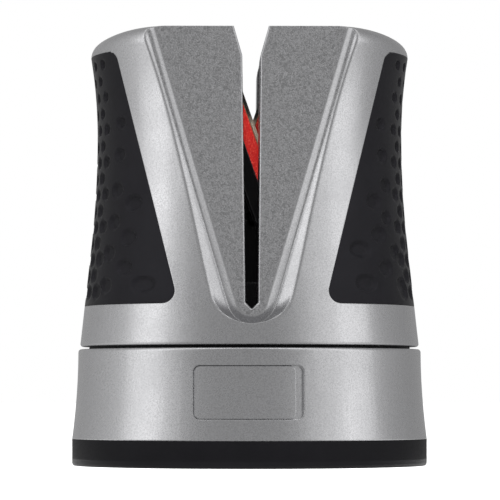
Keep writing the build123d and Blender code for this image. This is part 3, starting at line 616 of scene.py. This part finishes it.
def glint_speckled_red(name, share):
    """Red plastic with lighter speckles painted as glints, as light as a share of the rails' colour; a share
    below one is painted shade.
    """
    # A share below one darkens the red as painted shade
    color = shade(bpy.context.scene.sharpener_arms.rail_color, share)
    finish = Finish(name).set(Specular_IOR_Level=0.3)
    # Lighter speckles painted as glints on the red plastic
    painted_glints = finish.group("speckle", Size=0.42, Share=0.32)
    deep = finish.noise(DEEP_SIZE)
    red = finish.mix(finish.math("MULTIPLY", deep, 0.6), color, shade(color, DEEP_TONE))
    red_part, green_part, blue_part = color
    # Colour of the painted glints
    light = (min(1.0, 1.25 * red_part), 4 * green_part + 0.04, 3 * blue_part + 0.02)
    finish.feed("Base Color", finish.mix(painted_glints.outputs["Mask"], red, light))
    finish.feed("Roughness", finish.between(painted_glints.outputs["Mask"], 0.32, 0.52))
    finish.bump(deep, distance=0.02 * MM, strength=0.5)
    return finish.material


def grit(name):
    """Abrasive that the blade has worn light below the arms' crossing."""
    settings = bpy.context.scene.sharpener_arms
    color = tuple(settings.abrasive_color)
    finish = Finish(name).set(Specular_IOR_Level=0.3)
    grains = finish.group("speckle", Size=0.28, Share=0.42)
    coarse = finish.group("speckle", Size=0.5, Share=0.3)
    height = finish.parts_of("ShaderNodeTexCoord", "Object")[2]
    worn = finish.ramp(height, FRESH_FOOT, WORN_TOP)
    fresh = finish.mix(coarse.outputs["Mask"], FRESH_BINDER, FRESH_GRAINS)
    used = finish.mix(
        grains.outputs["Mask"], shade(color, WORN_BINDER_TONE), shade(color, WORN_GRAIN_TONE))
    finish.feed("Base Color", finish.mix(worn, fresh, used))
    finish.feed("Roughness", finish.between(grains.outputs["Mask"], 0.75, 0.5))
    finish.bump(grains.outputs["Mask"], distance=0.04 * MM, strength=0.9)
    return finish.material


def plain_metal(name):
    """Machined or drawn metal with fine streaks."""
    color, roughness, size, stretch = PLAIN_METALS[name]
    finish = Finish(name).set(Metallic=1.0)
    streaks = finish.noise(size, stretch=stretch)
    finish.feed("Base Color", finish.mix(streaks, color, shade(color, 0.7)))
    finish.feed("Roughness", finish.between(streaks, roughness - 0.12, roughness + 0.13))
    finish.bump(streaks, distance=0.01 * MM, strength=0.5)
    return finish.material


def paint(obj, material):
    """Give a piece or a node one material."""
    obj.data.materials.clear()
    obj.data.materials.append(material)


def paint_nodes(material, *names):
    """Give several nodes one material."""
    for name in names:
        paint(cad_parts[name], material)


# Operators, one for each group of pieces


class SHARPENER_OT_casting(bpy.types.Operator):
    """Finish the cast tower and base with the bare badge"""

    bl_idname = "sharpener.casting"
    bl_label = "Casting"

    def execute(self, context):
        paint_nodes(cast_metal("tower_casting", True), "tower_housing")
        paint_nodes(cast_metal("base_casting", False), "base_housing")
        # The deck is painted near black as shade in the gap under the tower
        paint_nodes(plain_metal("raw_casting"), "base_deck")
        paint_nodes(cast_metal("badge_casting", False), "front_badge")
        return {"FINISHED"}


class SHARPENER_OT_grips(bpy.types.Operator):
    """Model the dimpled rubber grips"""

    bl_idname = "sharpener.grips"
    bl_label = "Grips"

    def execute(self, context):
        settings = context.scene.sharpener_grips
        rubber = moulded_rubber("grip_rubber", tuple(settings.rubber_color), GRIP_ROUGHNESS, GRIP_GRAIN)
        for side, dimples in ((1, RIGHT_DIMPLES), (-1, LEFT_DIMPLES)):
            grip = self.skin(settings)
            self.dent(grip, dimples, settings)
            add_modifier(grip, "SOLIDIFY", thickness=settings.thickness, offset=-1.0, use_even_offset=True)
            add_modifier(grip, "BEVEL", width=GRIP_BEVEL, segments=2, limit_method="ANGLE",
                         angle_limit=GRIP_BEVEL_ANGLE)
            if side < 0:
                make_active(grip)
                bpy.ops.object.mode_set(mode="EDIT")
                bpy.ops.mesh.select_all(action="SELECT")
                bpy.ops.transform.resize(value=(-1, 1, 1), center_override=(0, 0, 0))
                bpy.ops.mesh.normals_make_consistent(inside=False)
                bpy.ops.object.mode_set(mode="OBJECT")
            name = "right_grip_skin" if side > 0 else "left_grip_skin"
            grip.name = name
            grip.data.name = name
            smooth(grip, GRIP_SMOOTH_ANGLE)
            paint(grip, rubber)
            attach(grip, "root_body")
            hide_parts("right_grip" if side > 0 else "left_grip")
        return {"FINISHED"}

    def skin(self, settings):
        """Turned skin cut to the right grip's outline, with its corners rounded."""
        rows = round((GRIP_HIGH - GRIP_LOW) / settings.mesh_step)
        heights = [GRIP_LOW + (GRIP_HIGH - GRIP_LOW) * i / rows for i in range(rows + 1)]
        across, along = math.cos(GRIP_TURN), math.sin(GRIP_TURN)
        draw_chain([(flank_radius(z) * across, flank_radius(z) * along, z) for z in heights])
        bpy.ops.mesh.select_all(action="SELECT")
        steps = round(2 * GRIP_TURN * WAIST_RADIUS / settings.mesh_step)
        bpy.ops.mesh.spin(steps=steps, angle=2 * GRIP_TURN, center=(0, 0, 0), axis=(0, 0, 1))
        edge_normal = Vector((math.cos(GRIP_LEAN), 0, -math.sin(GRIP_LEAN)))
        cut_away((GRIP_EDGE_X, 0, GRIP_LOW), edge_normal)
        self.round_corner(GRIP_EDGE_X, GRIP_LOW, GRIP_FOOT_CORNER, Vector((0, 0, 1)), edge_normal)
        top_x = GRIP_EDGE_X + math.tan(GRIP_LEAN) * (GRIP_HIGH - GRIP_LOW)
        self.round_corner(top_x, GRIP_HIGH, GRIP_TOP_CORNER, Vector((0, 0, -1)), edge_normal)
        bpy.ops.mesh.select_all(action="SELECT")
        bpy.ops.mesh.normals_make_consistent(inside=False)
        return finish_mode("grip")

    def round_corner(self, x, z, radius, first, second):
        """Cut a corner with planes that touch its arc. The normals of its two sides point inwards."""
        corner = Vector((x, 0, z))
        across = (first + second).normalized()
        middle = corner + across * radius / across.dot(first)
        for i in range(1, CORNER_CUTS):
            inward = first.slerp(second, i / CORNER_CUTS)
            cut_away(middle - inward * radius, inward)

    def side_dimples(self):
        """Rows of dimples on a grip's side, every second row set off by half a step."""
        ovals = []
        for row in range(SIDE_ROWS):
            share = row / (SIDE_ROWS - 1)
            sizes = [low + (high - low) * share for low, high in zip(SIDE_DIMPLE_FIRST, SIDE_DIMPLE_LAST)]
            start = SIDE_COLUMN_START + (SIDE_COLUMN_STEP / 2 if row % 2 else 0.0)
            height = SIDE_ROW_START + SIDE_ROW_STEP * row
            for column in range(SIDE_COLUMNS):
                ovals.append((start + SIDE_COLUMN_STEP * column, height, *sizes))
        return ovals

    def dimple_weight(self, place, ovals):
        """How deep a place on the skin lies in the dimples, from 0 to 1."""
        x, y, z = place
        angle = math.atan2(x, abs(y))
        radius = math.hypot(x, y)
        weight = 0.0
        for turn, middle_z, half_width, half_height in ovals:
            if abs(z - middle_z) > half_height:
                continue
            away = math.hypot((angle - turn) * radius / half_width, (z - middle_z) / half_height)
            if away < 1.0:
                weight = max(weight, min(1.0, (1.0 - away) * DIMPLE_STEEPNESS) ** DIMPLE_ROUNDING)
        return weight

    def dent(self, grip, dimples, settings):
        """Press the dimples into the skin with a weighted displacement."""
        ovals = [
            (math.radians(turn), z * MM, width * MM / 2, height * MM / 2)
            for turn, z, width, height in (*dimples, *self.side_dimples())
        ]
        group = grip.vertex_groups.new(name="dimples")
        for vertex in grip.data.vertices:
            weight = self.dimple_weight(vertex.co, ovals)
            if weight > 0.0:
                group.add([vertex.index], weight, "REPLACE")
        add_modifier(grip, "DISPLACE", strength=-settings.dimple_depth, mid_level=0.0, direction="NORMAL",
                     vertex_group="dimples")


class SHARPENER_OT_arms(bpy.types.Operator):
    """Finish the arms and what carries them"""

    bl_idname = "sharpener.arms"
    bl_label = "Arms"

    def execute(self, context):
        ends = ("front", "rear")
        paint_nodes(moulded_plastic("black_plastic"), "arm_carrier", *(f"{end}_arm_lever" for end in ends))
        paint_nodes(glint_speckled_red("front_red", FRONT_LIGHT), "front_arm_rail")
        # The rear rail's red is the front's, darkened as painted shade
        paint_nodes(glint_speckled_red("rear_red", REAR_PAINTED_SHADE), "rear_arm_rail")
        paint_nodes(grit("worn_grit"), *(f"{end}_arm_abrasive" for end in ends))
        paint_nodes(plain_metal("backing_brass"), *(f"{end}_arm_backing" for end in ends))
        paint_nodes(plain_metal("bush_bronze"), *(f"{end}_arm_bush" for end in ends))
        paint_nodes(plain_metal("blacked_steel"), *(f"{end}_rail_screws" for end in ends))
        paint_nodes(plain_metal("spring_wire"), *(f"{end}_arm_spring" for end in ends))
        paint_nodes(plain_metal("plated_steel"), "pin_clips", "pivot_washers", "carrier_screws",
                    *(f"{end}_pivot_pin" for end in ends))
        paint_nodes(moulded_rubber("pad_rubber", *PAD_RUBBER), "rest_stop_pads", "travel_stop_pads")
        return {"FINISHED"}


class SHARPENER_OT_base(bpy.types.Operator):
    """Finish the foot and what closes the base"""

    bl_idname = "sharpener.base"
    bl_label = "Foot and bottom"

    def execute(self, context):
        paint_nodes(moulded_rubber("foot_rubber", *FOOT_RUBBER), "foot_ring")
        paint_nodes(plain_metal("bottom_plate_steel"), "bottom_plate")
        paint_nodes(plain_metal("screw_steel"), "bottom_plate_screws", "base_screws")
        paint_nodes(plain_metal("ballast_iron"), "ballast_weight", "base_pillars")
        return {"FINISHED"}


class SHARPENER_OT_stage(bpy.types.Operator):
    """Set up the floor, the soft lamps and the camera"""

    bl_idname = "sharpener.stage"
    bl_label = "Stage"

    def execute(self, context):
        scene = context.scene
        settings = scene.sharpener_stage
        self.world(scene)
        self.floor()
        self.tent()
        for name, turn, distance, height, size, power, seen in LAMPS:
            self.lamp(name, turn, distance, height, size, getattr(settings, power), seen)
        self.camera(scene, settings)
        scene.view_settings.view_transform = "Standard"
        return {"FINISHED"}

    def seen(self, nodes, links, strength, plain):
        """A strength where a camera, glossy or transmission ray looks, and plain for other light."""
        path = nodes.new("ShaderNodeLightPath")
        seen = math_node(nodes, links, "ADD", path.outputs["Is Camera Ray"], path.outputs["Is Glossy Ray"])
        seen = math_node(nodes, links, "ADD", seen, path.outputs["Is Transmission Ray"], clamp=True)
        return math_node(nodes, links, "MULTIPLY_ADD", seen, strength - plain, plain)

    def bare_material(self, name):
        """A new material with only its output."""
        material = bpy.data.materials.new(name)
        material.use_nodes = True
        nodes, links = material.node_tree.nodes, material.node_tree.links
        nodes.remove(nodes["Principled BSDF"])
        return material, nodes, links

    def world(self, scene):
        world = bpy.data.worlds.new("studio")
        world.use_nodes = True
        nodes, links = world.node_tree.nodes, world.node_tree.links
        background = nodes["Background"]
        background.inputs["Color"].default_value = (1, 1, 1, 1)
        links.new(self.seen(nodes, links, 1.0, WORLD_PLAIN), background.inputs["Strength"])
        scene.world = world

    def floor(self):
        clear_selection()
        bpy.ops.mesh.primitive_plane_add(size=FLOOR_SIZE)
        floor = bpy.context.object
        floor.name = "studio_floor"
        material, nodes, links = self.bare_material("floor_white")
        matt = nodes.new("ShaderNodeBsdfDiffuse")
        matt.inputs["Color"].default_value = FLOOR_COLOR
        glow = nodes.new("ShaderNodeEmission")
        links.new(self.seen(nodes, links, FLOOR_GLOW, 0.0), glow.inputs["Strength"])
        both = nodes.new("ShaderNodeAddShader")
        links.new(matt.outputs[0], both.inputs[0])
        links.new(glow.outputs[0], both.inputs[1])
        links.new(both.outputs[0], nodes["Material Output"].inputs["Surface"])
        floor.data.materials.append(material)

    def tent(self):
        """Round light tent with a floor and a lid that only reflections see."""
        clear_selection()
        bpy.ops.mesh.primitive_cylinder_add(
            vertices=TENT_SIDES, radius=TENT_RADIUS, depth=TENT_HEIGHT, end_fill_type="NGON",
            location=(0, 0, TENT_HEIGHT / 2 + TENT_FOOT))
        tent = bpy.context.object
        tent.name = "light_tent"
        tent.visible_camera = False
        tent.visible_diffuse = False
        tent.visible_shadow = False
        tent.visible_transmission = False
        material, nodes, links = self.bare_material("light_tent")
        place = nodes.new("ShaderNodeTexCoord")
        parts = nodes.new("ShaderNodeSeparateXYZ")
        links.new(place.outputs["Object"], parts.inputs[0])
        forward = math_node(nodes, links, "MULTIPLY", parts.outputs[1], -1.0)
        turn = math_node(nodes, links, "ARCTAN2", parts.outputs[0], forward)
        ramp = nodes.new("ShaderNodeValToRGB")
        links.new(math_node(nodes, links, "MULTIPLY_ADD", turn, 0.5 / math.pi, 0.5), ramp.inputs["Fac"])
        stops = ramp.color_ramp.elements
        while len(stops) < len(TENT_LEVELS):
            stops.new(0.5)
        for stop, (degrees, level) in zip(stops, TENT_LEVELS):
            stop.position = degrees / 360.0 + 0.5
            stop.color = (*[level / TENT_PEAK] * 3, 1.0)
        glow = nodes.new("ShaderNodeEmission")
        lid = math_node(nodes, links, "GREATER_THAN", parts.outputs[2], LID_START)
        strength = math_node(nodes, links, "MULTIPLY_ADD", lid, LID_PEAK - TENT_PEAK, TENT_PEAK)
        links.new(strength, glow.inputs["Strength"])
        links.new(ramp.outputs["Color"], glow.inputs["Color"])
        links.new(glow.outputs[0], nodes["Material Output"].inputs["Surface"])
        tent.data.materials.append(material)

    def lamp(self, name, turn, distance, height, size, power, seen):
        """Soft lamp that looks at the object, seen in reflections or not."""
        data = bpy.data.lights.new(name, "AREA")
        data.shape = "RECTANGLE"
        data.size, data.size_y = size
        data.energy = power
        lamp = bpy.data.objects.new(name, data)
        bpy.context.collection.objects.link(lamp)
        angle = math.radians(turn)
        lamp.location = (math.sin(angle) * distance, -math.cos(angle) * distance, height)
        aim = math.atan2(distance, height - LAMP_AIM)
        lamp.rotation_euler = (aim, 0, angle)
        lamp.visible_camera = False
        lamp.visible_glossy = seen

    def camera(self, scene, settings):
        data = bpy.data.cameras.new("camera")
        data.sensor_width = SENSOR_WIDTH
        data.lens = settings.focal_length
        data.clip_end = SIGHT
        camera = bpy.data.objects.new("camera", data)
        bpy.context.collection.objects.link(camera)
        camera.location = settings.camera_place
        camera.rotation_euler = (math.radians(90) + settings.camera_tilt, 0, -settings.camera_turn)
        scene.camera = camera


class SHARPENER_PT_panel(bpy.types.Panel):
    """Sizes, colours and steps of the knife sharpener"""

    bl_idname = "SHARPENER_PT_panel"
    bl_label = "Knife sharpener"
    bl_space_type = "VIEW_3D"
    bl_region_type = "UI"
    bl_category = "Sharpener"

    def draw(self, context):
        scene = context.scene
        for name in SETTINGS:
            group = getattr(scene, name)
            box = self.layout.box()
            for key in group.__annotations__:
                box.prop(group, key)
        for operator in OPERATORS:
            self.layout.operator(operator.bl_idname)


SETTINGS = {
    "sharpener_casting": CastingSettings,
    "sharpener_grips": GripSettings,
    "sharpener_arms": ArmSettings,
    "sharpener_stage": StageSettings,
}
OPERATORS = (
    SHARPENER_OT_casting,
    SHARPENER_OT_grips,
    SHARPENER_OT_arms,
    SHARPENER_OT_base,
    SHARPENER_OT_stage,
)


def register():
    for name, settings in SETTINGS.items():
        bpy.utils.register_class(settings)
        setattr(bpy.types.Scene, name, bpy.props.PointerProperty(type=settings))
    for item in (*OPERATORS, SHARPENER_PT_panel):
        bpy.utils.register_class(item)


def unregister():
    for item in reversed((*OPERATORS, SHARPENER_PT_panel)):
        bpy.utils.unregister_class(item)
    for name, settings in SETTINGS.items():
        delattr(bpy.types.Scene, name)
        bpy.utils.unregister_class(settings)


def main():
    register()
    build_grain_group()
    build_sand_group()
    build_speckle_group()
    bpy.ops.sharpener.casting()
    bpy.ops.sharpener.grips()
    bpy.ops.sharpener.arms()
    bpy.ops.sharpener.base()
    bpy.ops.sharpener.stage()


if __name__ == "__main__":
    main()
